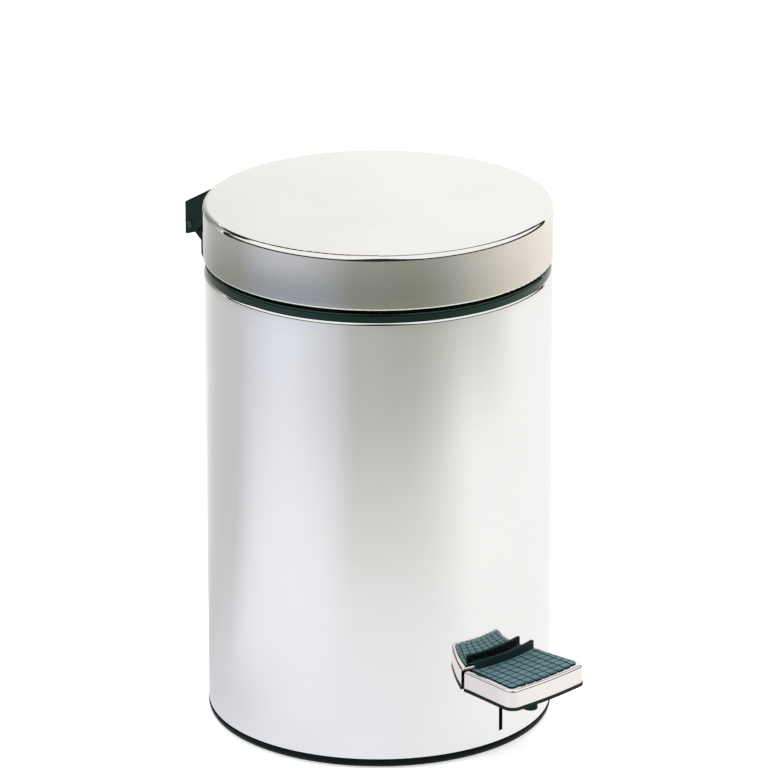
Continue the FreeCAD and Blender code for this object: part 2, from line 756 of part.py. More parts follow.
def pedal_lever():
    """The flat steel lever from the pedal, through the shell's slot, over the fulcrum to the rod."""
    half = lever_thickness / 2
    lower = lever_top - lever_depth
    bush_radius = fulcrum_pin_radius + running_fit + bush_wall
    hub = bush_radius + lever_hub_wall
    blade = plate([
        (-lever_front, lower, 1.5),
        (-body_radius + lever_bend_inset, lower, lever_bend),
        (fulcrum_y, fulcrum_z - hub, lever_blend),
        (eye_y, eye_z - lever_eye_radius * 0.8),
        (eye_y, eye_z + lever_eye_radius * 0.8),
        (fulcrum_y, fulcrum_z + hub, lever_blend),
        (-body_radius + lever_bend_inset, lever_top, lever_bend),
        (-lever_front, lever_top, 1.5),
    ], -half, half)
    eye = rod_along_x(lever_eye_radius, -half, half, eye_y, eye_z)
    blade = blade.fuse(eye)
    blade = blade.cut(rod_along_x(bush_radius + running_fit, -half - 1, half + 1, fulcrum_y, fulcrum_z))
    blade = blade.cut(rod_along_x(rod_radius + running_fit, -half - 1, half + 1, eye_y, eye_z))
    for y in pedal_rivet_places():
        blade = blade.cut(rod_along_x(pedal_rivet_radius + running_fit, -half - 1, half + 1, y, pedal_rivet_z()))
    return blade


# Pedal

def pedal_face(inset, rear_inset, corner):
    """The pedal's plan as a flat face: hollow rear beside the shell, flared sides and a bowed front."""
    rear = pedal_rear + rear_inset
    front = pedal_front - inset
    rear_half = pedal_rear_half - inset
    front_half = pedal_front_half - inset
    ends = front - pedal_bulge
    points = [
        (-rear_half, 0),
        (-rear_half, -rear),
        (-front_half, -ends, corner),
        (0, -front, 8 * pedal_front_half),
        (front_half, -ends, corner),
        (rear_half, -rear),
        (rear_half, 0),
    ]
    plan = outline(points)
    return plan.cut(Part.Face(Part.Wire(Part.makeCircle(rear))))


def pedal_prism(inset, rear_inset, corner, z_low, z_high):
    """A solid of the pedal's plan between two levels."""
    face = pedal_face(inset, rear_inset, corner)
    face.translate(Vec(0, 0, z_low))
    return face.extrude(Vec(0, 0, z_high - z_low)).Solids[0]


def pedal_shell():
    """The pressed steel cap of the pedal, open below, with a window for the tread."""
    cap = pedal_prism(0, 0, pedal_corner, tray_top, pedal_top_z)
    rim = [e for e in cap.Edges if all(abs(v.Point.z - pedal_top_z) < 1e-6 for v in e.Vertexes)]
    cap = cap.makeFillet(pedal_edge, rim)
    hollow = pedal_prism(pedal_sheet, pedal_sheet, pedal_corner - pedal_sheet, tray_top - 1, pedal_top_z - pedal_sheet)
    window = pedal_prism(pad_frame, pad_frame - 1, pedal_corner - 2, pedal_top_z - 3, pedal_top_z + 1)
    return cap.cut(hollow).cut(window)


def pedal_pad():
    """The rubber tread: a flange held under the steel, squares that show, and a heel lip by the shell."""
    shown = pad_frame + seat_fit
    flange_inset = pad_frame - pad_flange_reach
    pad = pedal_prism(flange_inset, flange_inset - 1, pedal_corner - 1.2, pad_bed, pad_bed + pad_flange - seat_fit)
    tread = pedal_prism(shown, shown - 1, pedal_corner - 2.2, pad_bed, pad_top)
    lip_rear = pedal_rear + shown - 1
    lip = tube_between(lip_rear + lip_thickness, lip_rear, pad_bed, pad_top + lip_height)
    lip_half = pedal_rear_half - shown - lip_end
    lip = lip.common(block(-lip_half, lip_half, -2 * body_radius, 0, 0, 2 * body_radius))
    grooves = []
    lanes = int((pedal_front_half - shown) / tread_lane + 0.5)
    for lane in range(-lanes, lanes):
        x = (lane + 0.5) * tread_lane
        grooves.append(block(x - tread_lane_width / 2, x + tread_lane_width / 2,
                             -pedal_front, 0, pad_top - tread_lane_depth, pad_top + 1))
    first = lip_rear + lip_thickness + tread_row_width
    rows = int((pedal_front - shown - first) / tread_row)
    for row in range(rows + 1):
        y = -(first + row * tread_row)
        grooves.append(block(-pedal_front_half, pedal_front_half, y - tread_row_width / 2, y + tread_row_width / 2,
                             pad_top - tread_row_depth, pad_top + 1))
    tread = tread.cut(grooves)
    return pad.fuse(tread).fuse(lip)


def pedal_rivet_places():
    """The two cross rivets that hold the lever in the tray's boss, as y positions."""
    start = -pedal_rear - boss_length
    return (start + boss_half + 3.5, start + boss_half + 12.0)


def pedal_rivet_z():
    """Height of the pedal's cross rivets."""
    return lever_top - lever_depth / 2


def pedal_tray():
    """The plastic underside of the pedal, with pockets and a boss that grips the lever."""
    tray = pedal_prism(-tray_proud, 0, pedal_corner + tray_proud, pedal_base_z, tray_top)
    inner = pedal_sheet + seat_fit
    plug = pedal_prism(inner, inner, pedal_corner - inner, tray_top - 0.2, pad_bed)
    tray = tray.fuse(plug)
    pocket_rear = -pedal_rear - pocket_wall - 4
    pocket_front = -pedal_front + pocket_wall + 4
    pocket_edge = pedal_rear_half - pocket_wall - 1
    for side in (-1, 1):
        near, far = sorted((side * (boss_half + 1.5), side * pocket_edge))
        tray = tray.cut(block(near, far, pocket_front, pocket_rear, pedal_base_z - 1, pedal_base_z + pocket_depth))
    boss_low = pedal_base_z - boss_depth
    boss_tip = -pedal_rear - boss_length + boss_half
    boss = block(-boss_half, boss_half, boss_tip, -pedal_rear - boss_setback, boss_low, pedal_base_z + 0.2)
    nose = Part.makeCylinder(boss_half, boss_depth + 0.2, Vec(0, boss_tip, boss_low))
    tray = tray.fuse(boss.fuse(nose))
    groove_half = lever_thickness / 2 + running_fit
    groove = block(-groove_half, groove_half, -lever_front - running_fit, 0, boss_low - 1, lever_top + running_fit)
    tray = tray.cut(groove)
    for y in pedal_rivet_places():
        tray = tray.cut(rod_along_x(pedal_rivet_radius + running_fit, -2 * boss_half, 2 * boss_half, y, pedal_rivet_z()))
    return tray


def pedal_rivets():
    """Two headed cross rivets through the boss and the lever."""
    rivets = []
    for y in pedal_rivet_places():
        rivet = rod_along_x(pedal_rivet_radius, -boss_half, boss_half, y, pedal_rivet_z())
        for side in (-1, 1):
            head = Part.makeCone(pedal_rivet_radius * 1.7, pedal_rivet_radius, 0.9,
                                 Vec(side * boss_half, y, pedal_rivet_z()), Vec(side, 0, 0))
            rivet = rivet.fuse(head)
        rivets.append(rivet)
    return rivets


# Bucket

def bail_level():
    """Height of the bail's axis and of the lying wire's middle."""
    return ledge_z + bucket_seat + bucket_flange + bail_lift + bail_wire_radius


def inner_bucket():
    """The lift-out plastic bucket: tapered wall, flange on the rim ring and two bail ears."""
    flange_low = ledge_z + bucket_seat
    flange_top = flange_low + bucket_flange
    flange_radius = ledge_outer - flange_play
    foot_inner = bucket_bottom_radius - 3
    bucket = turned([
        (0, bucket_foot + 1.2),
        (foot_inner - 3, bucket_foot + 1.2),
        (foot_inner - 3, bucket_foot),
        (bucket_bottom_radius, bucket_foot, bucket_corner),
        (bucket_top_radius, flange_low, 1.0),
        (flange_radius, flange_low, 0.4),
        (flange_radius, flange_top, 0.7),
        (bucket_top_radius - bucket_wall, flange_top, 1.0),
        (bucket_bottom_radius - bucket_wall, bucket_foot + 2.4, bucket_corner - bucket_wall),
        (0, bucket_foot + 2.4),
    ])
    notch = block(-notch_half - bucket_play, notch_half + bucket_play, bucket_top_radius + 0.3, body_radius,
                  flange_low - 3, flange_top + 1)
    bucket = bucket.cut(notch)
    ear_inside = bail_ear_inside()
    ear = plate([
        (-ear_length / 2, flange_top - 0.5),
        (ear_length / 2, flange_top - 0.5),
        (ear_length / 2, bail_level() + ear_crown, 2.5),
        (-ear_length / 2, bail_level() + ear_crown, 2.5),
    ], ear_inside, ear_inside + ear_block)
    ear = ear.cut(rod_along_x(bail_wire_radius + running_fit, 0, body_radius, 0, bail_level()))
    for piece in mirrored(ear):
        bucket = bucket.fuse(piece)
    return bucket


def bail_radius():
    """Radius of the bail's bow, which lies on the bucket's flange."""
    return bucket_top_radius + bail_wire_radius + 1.2


def bail_handle():
    """The wire bail, lying on the flange along the front half of the bucket."""
    bow = bail_radius()
    level = bail_level()
    end = bail_ear_inside() + ear_block - 0.2
    lean = bail_bend * (1 - math.sqrt(0.5))
    left_turn = Vec(-bow - lean, -lean, level)
    right_turn = Vec(bow + lean, -lean, level)
    edges = [
        Part.LineSegment(Vec(-end, 0, level), Vec(-bow - bail_bend, 0, level)).toShape(),
        Part.Arc(Vec(-bow - bail_bend, 0, level), left_turn, Vec(-bow, -bail_bend, level)).toShape(),
        Part.Arc(Vec(-bow, -bail_bend, level), Vec(0, -bow - bail_bend, level), Vec(bow, -bail_bend, level)).toShape(),
        Part.Arc(Vec(bow, -bail_bend, level), right_turn, Vec(bow + bail_bend, 0, level)).toShape(),
        Part.LineSegment(Vec(bow + bail_bend, 0, level), Vec(end, 0, level)).toShape(),
    ]
    section = Part.Wire(Part.makeCircle(bail_wire_radius, Vec(-end, 0, level), Vec(1, 0, 0)))
    return Part.Wire(edges).makePipeShell([section], True, False)


def bail_ear_inside():
    """Inner face of the bail ears, clear of the wire's bend."""
    return bail_radius() + bail_bend + free_gap


NODES = {
    "body_shell": body_shell,
    "rim_ring": rim_ring,
    "base_cup": base_cup,
    "body_hinge_bracket": body_hinge_bracket,
    "body_hinge_rivets": body_hinge_rivets,
    "hinge_pin": hinge_pin,
    "hinge_pin_cap": hinge_pin_cap,
    "rod_guide": rod_guide,
    "fulcrum_bracket": fulcrum_bracket,
    "fulcrum_screws": fulcrum_screws,
    "fulcrum_pin": fulcrum_pin,
    "lid_shell": lid_shell,
    "lid_hinge_cover": lid_hinge_cover,
    "lid_hinge_rivets": lid_hinge_rivets,
    "lift_finger": lift_finger,
    "finger_rivet": finger_rivet,
    "pedal_lever": pedal_lever,
    "fulcrum_bush": fulcrum_bush,
    "pedal_tray": pedal_tray,
    "pedal_shell": pedal_shell,
    "pedal_pad": pedal_pad,
    "pedal_rivets": pedal_rivets,
    "lift_rod": lift_rod,
    "inner_bucket": inner_bucket,
    "bail_handle": bail_handle,
}


def main():
    """Builds every node and writes its file."""
    os.makedirs("parts", exist_ok=True)
    for name, make in NODES.items():
        made = make()
        save(name, *(made if isinstance(made, list) else [made]))


main()
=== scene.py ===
# %% [markdown]
# # A steel pedal bin
# This lesson dresses a small round pedal bin: polished sheet steel, dark moulded plastic, a rubber tread
# on the pedal, and the lever, rod and hinge that open the lid. The solid pieces come in at their real
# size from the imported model, and Blender gives each of them its finish.

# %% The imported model
import bpy
import bmesh
import math
from mathutils import Euler, Matrix, Vector


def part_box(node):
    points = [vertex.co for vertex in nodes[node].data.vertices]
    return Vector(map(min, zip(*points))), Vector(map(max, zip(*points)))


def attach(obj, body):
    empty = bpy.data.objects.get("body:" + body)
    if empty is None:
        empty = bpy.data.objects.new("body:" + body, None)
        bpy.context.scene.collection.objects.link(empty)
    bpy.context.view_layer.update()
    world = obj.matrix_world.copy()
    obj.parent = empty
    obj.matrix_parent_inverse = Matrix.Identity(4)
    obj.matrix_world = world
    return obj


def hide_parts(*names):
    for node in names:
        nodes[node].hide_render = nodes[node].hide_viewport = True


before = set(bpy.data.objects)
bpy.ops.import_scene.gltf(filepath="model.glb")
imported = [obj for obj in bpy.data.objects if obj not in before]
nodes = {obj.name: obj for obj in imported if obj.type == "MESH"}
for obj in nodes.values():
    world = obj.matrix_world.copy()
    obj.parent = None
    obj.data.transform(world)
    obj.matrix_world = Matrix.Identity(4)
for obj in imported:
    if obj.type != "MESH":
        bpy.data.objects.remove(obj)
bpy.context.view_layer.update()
scene = bpy.context.scene
scene.view_settings.view_transform = "Standard"

# %% [markdown]
# ## Colours and nodes
# Finishes are given as screen colours, so they are written as sRGB hex values and turned to the
# linear numbers that shaders need in one place. A second helper adds one node with its settings and
# links, which keeps every finish below short enough to read as a recipe.

# %% Colour and node helpers
MM = 0.001


def linear(hex_colour):
    """An sRGB hex colour as linear RGBA."""
    parts = [int(hex_colour[i:i + 2], 16) / 255 for i in (1, 3, 5)]
    return [c / 12.92 if c <= 0.04045 else ((c + 0.055) / 1.055) ** 2.4 for c in parts] + [1.0]


def add(tree, kind, settings=None, inputs=None):
    """Adds one node; an input that is a socket is linked, and any other value is set."""
    node = tree.nodes.new(kind)
    for name, value in (settings or {}).items():
        setattr(node, name, value)
    for name, value in (inputs or {}).items():
        if isinstance(value, bpy.types.NodeSocket):
            tree.links.new(value, node.inputs[name])
        else:
            node.inputs[name].default_value = value
    return node


print("middle grey is linear", round(linear("#808080")[0], 3))


# %% Material helpers
def bare_material(name):
    """A material with an empty node tree."""
    material = bpy.data.materials.new(name)
    material.use_nodes = True
    material.node_tree.nodes.clear()
    return material, material.node_tree


def new_material(name):
    """A material with a principled shader and its output."""
    material, tree = bare_material(name)
    shader = add(tree, "ShaderNodeBsdfPrincipled")
    add(tree, "ShaderNodeOutputMaterial", inputs={"Surface": shader.outputs["BSDF"]})
    return material, tree, shader


def surface(tree, shader, tone, gloss, relief):
    """Links a finish's colour, roughness and bump to its shader."""
    tree.links.new(tone.outputs["Result"], shader.inputs["Base Color"])
    tree.links.new(gloss.outputs["Result"], shader.inputs["Roughness"])
    tree.links.new(relief.outputs["Normal"], shader.inputs["Normal"])


def give(material, *names):
    """Puts one finish on CAD nodes."""
    for name in names:
        nodes[name].data.materials.clear()
        nodes[name].data.materials.append(material)
    print(material.name, "on", ", ".join(names))


# %% [markdown]
# ## Polished stainless steel
# The shell is rolled from bright-annealed stainless sheet and buffed round its axis. Buffing leaves
# shallow lines along the turn, too fine to see one by one, so they are drawn about a millimetre apart and
# only change the roughness and tilt the surface a little. A broad cloud stands for the slight unevenness
# of the sheet. An anisotropic shader could stretch the highlights too, but this steel is so near a mirror
# that faint lines on a plain shader do: the pedal shows in it as a clear second image.

# %% Steel finish
# Most of a noise texture lies between these two values.
NOISE_LOW = 0.3
NOISE_HIGH = 0.7
LINE_LENGTH_MM = 60
CLOUD_MM = 45
LINE_SHARE = 0.3
CLOUD_SHARE = 0.7


def stainless(name, pale, dark, smooth, rough, line_mm, depth_mm):
    """Buffed stainless steel with fine lines round the vertical axis."""
    material, tree, shader = new_material(name)
    place = add(tree, "ShaderNodeTexCoord").outputs["Object"]
    along = 1 / (LINE_LENGTH_MM * MM)
    across = 1 / (line_mm * MM)
    stretched = add(tree, "ShaderNodeVectorMath", {"operation": "MULTIPLY"}, {
        0: place, 1: (along, along, across)})
    lines = add(tree, "ShaderNodeTexNoise", inputs={
        "Vector": stretched.outputs[0], "Scale": 1.0, "Detail": 3.0, "Roughness": 0.6})
    cloud = add(tree, "ShaderNodeTexNoise", inputs={
        "Vector": place, "Scale": 1 / (CLOUD_MM * MM), "Detail": 2.0, "Roughness": 0.5})
    clouded = add(tree, "ShaderNodeMath", {"operation": "MULTIPLY"}, {
        0: cloud.outputs["Fac"], 1: CLOUD_SHARE})
    mottle = add(tree, "ShaderNodeMath", {"operation": "MULTIPLY_ADD"}, {
        0: lines.outputs["Fac"], 1: LINE_SHARE, 2: clouded.outputs[0]})
    tone = add(tree, "ShaderNodeMix", {"data_type": "RGBA"}, {
        "Factor": mottle.outputs[0], "A": linear(pale), "B": linear(dark)})
    gloss = add(tree, "ShaderNodeMapRange", inputs={
        "Value": lines.outputs["Fac"], "From Min": NOISE_LOW, "From Max": NOISE_HIGH,
        "To Min": smooth, "To Max": rough})
    relief = add(tree, "ShaderNodeBump", inputs={
        "Height": lines.outputs["Fac"], "Strength": 1.0, "Distance": depth_mm * MM})
    shader.inputs["Metallic"].default_value = 1.0
    surface(tree, shader, tone, gloss, relief)
    return material


# %% Steel pieces
# The shell is the brightest, the lid a little warmer, and the pedal's cap is scuffed by soles.
shell_steel = stainless("buffed_stainless_shell", "#f8f8f7", "#efefee", 0.04, 0.08, 1.0, 0.0004)
lid_steel = stainless("satin_stainless_lid", "#f8f7f4", "#ebeae6", 0.04, 0.07, 1.0, 0.0004)
pedal_steel = stainless("polished_stainless_pedal", "#f8f3f0", "#f2ece9", 0.07, 0.12, 0.8, 0.0004)
give(shell_steel, "body_shell")
give(lid_steel, "lid_shell")
give(pedal_steel, "pedal_shell")

# %% [markdown]
# ## Zinc-plated, plain and blackened steel
# The lever, rod, finger and bail are zinc-plated parts that nobody polishes. Zinc crystals give a soft
# mottle a few millimetres across. The rivets, screws and fulcrum pin are plain drawn steel, a little
# darker, and the hinge pin is dipped to a black oxide, so that it doesn't flash between the dark hinge
# halves. A photo of plating could be wrapped on, but cells of noise fit pieces of any shape.

# %% Plated finish
DUST_MM = 0.6


def plated(name, pale, dark, grain_mm, smooth, rough):
    """Metal with a soft crystal mottle."""
    material, tree, shader = new_material(name)
    place = add(tree, "ShaderNodeTexCoord").outputs["Object"]
    crystals = add(tree, "ShaderNodeTexVoronoi", inputs={"Vector": place, "Scale": 1 / (grain_mm * MM)})
    dust = add(tree, "ShaderNodeTexNoise", inputs={
        "Vector": place, "Scale": 1 / (DUST_MM * MM), "Detail": 3.0})
    tone = add(tree, "ShaderNodeMix", {"data_type": "RGBA"}, {
        "Factor": crystals.outputs["Distance"], "A": linear(pale), "B": linear(dark)})
    gloss = add(tree, "ShaderNodeMapRange", inputs={
        "Value": dust.outputs["Fac"], "From Min": NOISE_LOW, "From Max": NOISE_HIGH,
        "To Min": smooth, "To Max": rough})
    relief = add(tree, "ShaderNodeBump", inputs={
        "Height": dust.outputs["Fac"], "Strength": 0.6, "Distance": 0.01 * MM})
    shader.inputs["Metallic"].default_value = 1.0
    surface(tree, shader, tone, gloss, relief)
    return material


# %% Plated and plain pieces
zinc = plated("zinc_plated_steel", "#c9c9c4", "#a9aaa8", 2.5, 0.24, 0.40)
drawn = plated("plain_drawn_steel", "#b5b4ae", "#94938e", 1.2, 0.22, 0.34)
black_oxide = plated("black_oxide_steel", "#566060", "#3d4646", 1.2, 0.32, 0.46)
give(zinc, "pedal_lever", "lift_rod", "lift_finger", "fulcrum_bracket", "rod_guide", "bail_handle")
give(drawn, "body_hinge_rivets", "lid_hinge_rivets", "finger_rivet", "pedal_rivets",
     "fulcrum_pin", "fulcrum_screws")
give(black_oxide, "hinge_pin", "hinge_pin_cap")

# %% [markdown]
# ## Moulded polypropylene
# The base, rim ring, bucket, hinge halves and pedal tray are polypropylene, nearly all of it black with a
# green cast. The mould's spark finish gives an even grain of about half a millimetre, which spreads the
# highlights on the edges, and the colour drifts slightly where the melt flowed. The rim ring comes from
# a smoother tool, so it is glossier, and its gloss is tinted green as in the picture. The rim ring and the
# base are given darker copies of the plastic, and that extra dark is painted shade: in the gap under the lid
# and under the shell's edge. The small bush in the lever is white acetal. A flat colour would do from afar;
# the grain is what makes it plastic close by.

# %% Plastic finish
PLASTIC_IOR = 1.49
FLOW_MM = 18


def moulded(name, pale, dark, grain_mm, smooth, rough, depth_mm, sheen, glint="#ffffff"):
    """Moulded plastic with a spark-finish grain; the glint tints its highlights."""
    material, tree, shader = new_material(name)
    place = add(tree, "ShaderNodeTexCoord").outputs["Object"]
    flow = add(tree, "ShaderNodeTexNoise", inputs={
        "Vector": place, "Scale": 1 / (FLOW_MM * MM), "Detail": 2.0})
    grain = add(tree, "ShaderNodeTexNoise", inputs={
        "Vector": place, "Scale": 1 / (grain_mm * MM), "Detail": 4.0, "Roughness": 0.6})
    tone = add(tree, "ShaderNodeMix", {"data_type": "RGBA"}, {
        "Factor": flow.outputs["Fac"], "A": linear(pale), "B": linear(dark)})
    gloss = add(tree, "ShaderNodeMapRange", inputs={
        "Value": grain.outputs["Fac"], "From Min": NOISE_LOW, "From Max": NOISE_HIGH,
        "To Min": smooth, "To Max": rough})
    relief = add(tree, "ShaderNodeBump", inputs={
        "Height": grain.outputs["Fac"], "Strength": 0.5, "Distance": depth_mm * MM})
    shader.inputs["IOR"].default_value = PLASTIC_IOR
    shader.inputs["Specular IOR Level"].default_value = sheen
    shader.inputs["Specular Tint"].default_value = linear(glint)
    surface(tree, shader, tone, gloss, relief)
    return material


# %% Plastic pieces
dark_plastic = moulded("spark_finished_polypropylene", "#142d28", "#0d211d", 0.5, 0.40, 0.54, 0.03, 0.12)
# The base's darker copy of the plastic is painted shade under the shell's edge.
base_plastic_with_painted_shade = moulded("spark_finished_base_polypropylene_painted_shade", "#0c1917", "#081211",
                       0.5, 0.42, 0.55, 0.03, 0.08)
# The rim ring's darker colour is painted shade for the narrow gap under the lid.
rim_plastic_with_painted_shade = moulded("satin_rim_polypropylene_painted_shade", "#07110f", "#040b0a",
                      0.8, 0.12, 0.18, 0.006, 0.72, glint="#baffea")
bucket_plastic = moulded("bucket_polypropylene", "#3a4040", "#2f3535", 1.0, 0.34, 0.46, 0.02, 0.25)
acetal = moulded("white_acetal", "#e4e2da", "#d8d6cd", 0.8, 0.28, 0.38, 0.01, 0.25)
give(rim_plastic_with_painted_shade, "rim_ring")
give(base_plastic_with_painted_shade, "base_cup")
give(bucket_plastic, "inner_bucket")
give(acetal, "fulcrum_bush")

# %% [markdown]
# ## Softened mouldings
# A moulded piece never has a knife edge: the tool leaves a small radius that catches a thin line of
# light. The hinge halves and the pedal's tray keep their solid's shape, so a copy of each is joined up,
# its flat faces are merged, and a bevel rounds only the sharp edges. Rounding every edge in the solid
# would work as well, but the modifier is quicker to change.

# %% Rounding helper
MERGE_MM = 0.002
FLAT_ANGLE = 0.5
SHARP_ANGLE = 32


def softened(name, radius_mm, material, body):
    """A copy of a CAD node with rounded edges, standing in for it."""
    mesh = nodes[name].data.copy()
    work = bmesh.new()
    work.from_mesh(mesh)
    bmesh.ops.remove_doubles(work, verts=work.verts, dist=MERGE_MM * MM)
    bmesh.ops.dissolve_limit(work, angle_limit=math.radians(FLAT_ANGLE), verts=work.verts, edges=work.edges)
    work.to_mesh(mesh)
    work.free()
    piece = bpy.data.objects.new(name + "_soft", mesh)
    scene.collection.objects.link(piece)
    if mesh.has_custom_normals:
        with bpy.context.temp_override(object=piece, active_object=piece):
            bpy.ops.mesh.customdata_custom_splitnormals_clear()
    rounding = piece.modifiers.new("edge_radius", "BEVEL")
    rounding.width = radius_mm * MM
    rounding.segments = 3
    rounding.limit_method = "ANGLE"
    rounding.angle_limit = math.radians(SHARP_ANGLE)
    rounding.harden_normals = True
    mesh.materials.clear()
    mesh.materials.append(material)
    for face in mesh.polygons:
        face.use_smooth = True
    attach(piece, body)
    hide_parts(name)
    print(piece.name, "faces:", len(mesh.polygons))
    return piece


# %% Hinge halves and pedal tray
hinge_cover = softened("lid_hinge_cover", 0.35, dark_plastic, "lid")
hinge_bracket = softened("body_hinge_bracket", 0.35, dark_plastic, "shell")
pedal_tray = softened("pedal_tray", 0.3, dark_plastic, "pedal")

# %% [markdown]
# ## Rubber tread
# The tread is moulded black-green rubber with a grid of small squares, grey-blue on top. The grooves, sides
# and heel lip are given a dark tone, and in the grooves that dark is painted shade, on top of the shade that
# their own shape casts. The squares could be given a second material face by face, but height tells them
# apart as well, so the colour is taken from how high a point lies on the pedal at rest. Rubber scatters
# light in a broad dull sheen, and fine grit breaks it up.

# %% Tread finish
RUBBER_IOR = 1.52
GRIT_MM = 0.7
TOP_MOTTLE_MM = 9
LIP_HEIGHT = 4.4 * MM
tread_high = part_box("pedal_pad")[1]
tread_top = tread_high.z - LIP_HEIGHT


def rubber(name, top_tone, dark_and_groove_shade, top):
    """Rubber that is pale on the tops of its squares and dark elsewhere; in the grooves the dark is painted
    shade.
    """
    material, tree, shader = new_material(name)
    place = add(tree, "ShaderNodeTexCoord").outputs["Object"]
    height = add(tree, "ShaderNodeSeparateXYZ", inputs={"Vector": place}).outputs["Z"]
    above_groove = add(tree, "ShaderNodeMapRange", {"interpolation_type": "SMOOTHSTEP"}, {
        "Value": height, "From Min": top - 0.3 * MM, "From Max": top - 0.04 * MM})
    below_lip = add(tree, "ShaderNodeMapRange", {"interpolation_type": "SMOOTHSTEP"}, {
        "Value": height, "From Min": top + 0.25 * MM, "From Max": top + 0.6 * MM,
        "To Min": 1.0, "To Max": 0.0})
    # Only the tops of the squares take the pale tone; the dark tone in the grooves below them is painted
    # shade.
    square_tops = add(tree, "ShaderNodeMath", {"operation": "MULTIPLY"}, {
        0: above_groove.outputs["Result"], 1: below_lip.outputs["Result"]})
    grit = add(tree, "ShaderNodeTexNoise", inputs={
        "Vector": place, "Scale": 1 / (GRIT_MM * MM), "Detail": 3.0})
    top_mottle = add(tree, "ShaderNodeTexNoise", inputs={
        "Vector": place, "Scale": 1 / (TOP_MOTTLE_MM * MM), "Detail": 2.0})
    fade = add(tree, "ShaderNodeMapRange", inputs={
        "Value": top_mottle.outputs["Fac"], "From Min": NOISE_LOW, "From Max": NOISE_HIGH,
        "To Min": 0.75, "To Max": 1.0})
    amount = add(tree, "ShaderNodeMath", {"operation": "MULTIPLY"}, {
        0: square_tops.outputs[0], 1: fade.outputs["Result"]})
    tone = add(tree, "ShaderNodeMix", {"data_type": "RGBA"}, {
        "Factor": amount.outputs[0], "A": linear(dark_and_groove_shade), "B": linear(top_tone)})
    gloss = add(tree, "ShaderNodeMapRange", inputs={
        "Value": grit.outputs["Fac"], "From Min": NOISE_LOW, "From Max": NOISE_HIGH,
        "To Min": 0.5, "To Max": 0.68})
    relief = add(tree, "ShaderNodeBump", inputs={
        "Height": grit.outputs["Fac"], "Strength": 0.5, "Distance": 0.03 * MM})
    shader.inputs["IOR"].default_value = RUBBER_IOR
    shader.inputs["Specular IOR Level"].default_value = 0.15
    surface(tree, shader, tone, gloss, relief)
    return material


# %% Tread
# Grey-blue tops; the dark tone is painted shade in the grooves and the colour of the sides and heel lip.
tread_rubber = rubber("tread_rubber", "#6f9297", "#11282a", tread_top)
tread = softened("pedal_pad", 0.16, tread_rubber, "pedal")
print("tops of the squares in mm:", round(tread_top / MM, 2))

# %% [markdown]
# ## Floor and daylight
# The bin stands on a white paper sweep in even light. The paper is plain diffuse white with a little
# glow for the camera and for reflections, so that it photographs white and still takes the bin's shadow.
# More lamps could make it white too, but they would bleach the bin along with it.

# %% Floor helpers
CLOSED_HOLE = 10 * MM


def disc(name, inner, outer, height, steps=128):
    """A flat ring on the floor; a very small hole is closed."""
    work = bmesh.new()
    turns = [2 * math.pi * i / steps for i in range(steps)]
    near, far = [[work.verts.new((radius * math.cos(turn), radius * math.sin(turn), height))
                  for turn in turns] for radius in (inner, outer)]
    for i in range(steps):
        after = (i + 1) % steps
        work.faces.new((near[i], far[i], far[after], near[after]))
    if inner < CLOSED_HOLE:
        work.faces.new(near)
    mesh = bpy.data.meshes.new(name)
    work.to_mesh(mesh)
    work.free()
    made = bpy.data.objects.new(name, mesh)
    scene.collection.objects.link(made)
    return made


def seen_directly(tree):
    """1 for camera, mirror and glass rays, 0 for light that bounces."""
    path = add(tree, "ShaderNodeLightPath")
    first = add(tree, "ShaderNodeMath", {"operation": "MAXIMUM"}, {
        0: path.outputs["Is Camera Ray"], 1: path.outputs["Is Glossy Ray"]})
    either = add(tree, "ShaderNodeMath", {"operation": "MAXIMUM"}, {
        0: first.outputs[0], 1: path.outputs["Is Transmission Ray"]})
    return either.outputs[0]


# %% Paper floor
PAPER_GLOW = 0.58
FIBRE_MM = 3
FLOOR_REACH = 4.0
paper, tree = bare_material("white_paper_sweep")
fibre = add(tree, "ShaderNodeTexNoise", inputs={"Scale": 1 / (FIBRE_MM * MM), "Detail": 2.0})
paper_tone = add(tree, "ShaderNodeMix", {"data_type": "RGBA"}, {
    "Factor": fibre.outputs["Fac"], "A": linear("#f6f6f5"), "B": linear("#f3f3f2")})
matt = add(tree, "ShaderNodeBsdfDiffuse", inputs={"Color": paper_tone.outputs["Result"]})
shine = add(tree, "ShaderNodeMath", {"operation": "MULTIPLY"}, {0: seen_directly(tree), 1: PAPER_GLOW})
lift = add(tree, "ShaderNodeEmission", inputs={"Color": linear("#ffffff"), "Strength": shine.outputs[0]})
both = add(tree, "ShaderNodeAddShader", inputs={0: matt.outputs[0], 1: lift.outputs[0]})
add(tree, "ShaderNodeOutputMaterial", inputs={"Surface": both.outputs[0]})
floor = disc("floor", inner=0.001, outer=FLOOR_REACH, height=-0.0004)
floor.data.materials.append(paper)
print("the floor reaches out", FLOOR_REACH, "m")

# %% World light
SKY_LIGHT = 0.62
SKY_WHITE = 1.0
world = bpy.data.worlds.new("even_daylight")
scene.world = world
world.use_nodes = True
tree = world.node_tree
tree.nodes.clear()
level = add(tree, "ShaderNodeMapRange", inputs={
    "Value": seen_directly(tree), "To Min": SKY_LIGHT, "To Max": SKY_WHITE})
sky = add(tree, "ShaderNodeBackground", inputs={
    "Color": linear("#ffffff"), "Strength": level.outputs["Result"]})
add(tree, "ShaderNodeOutputWorld", inputs={"Surface": sky.outputs[0]})
print("the sky lights the bin at", SKY_LIGHT, "and looks", SKY_WHITE)

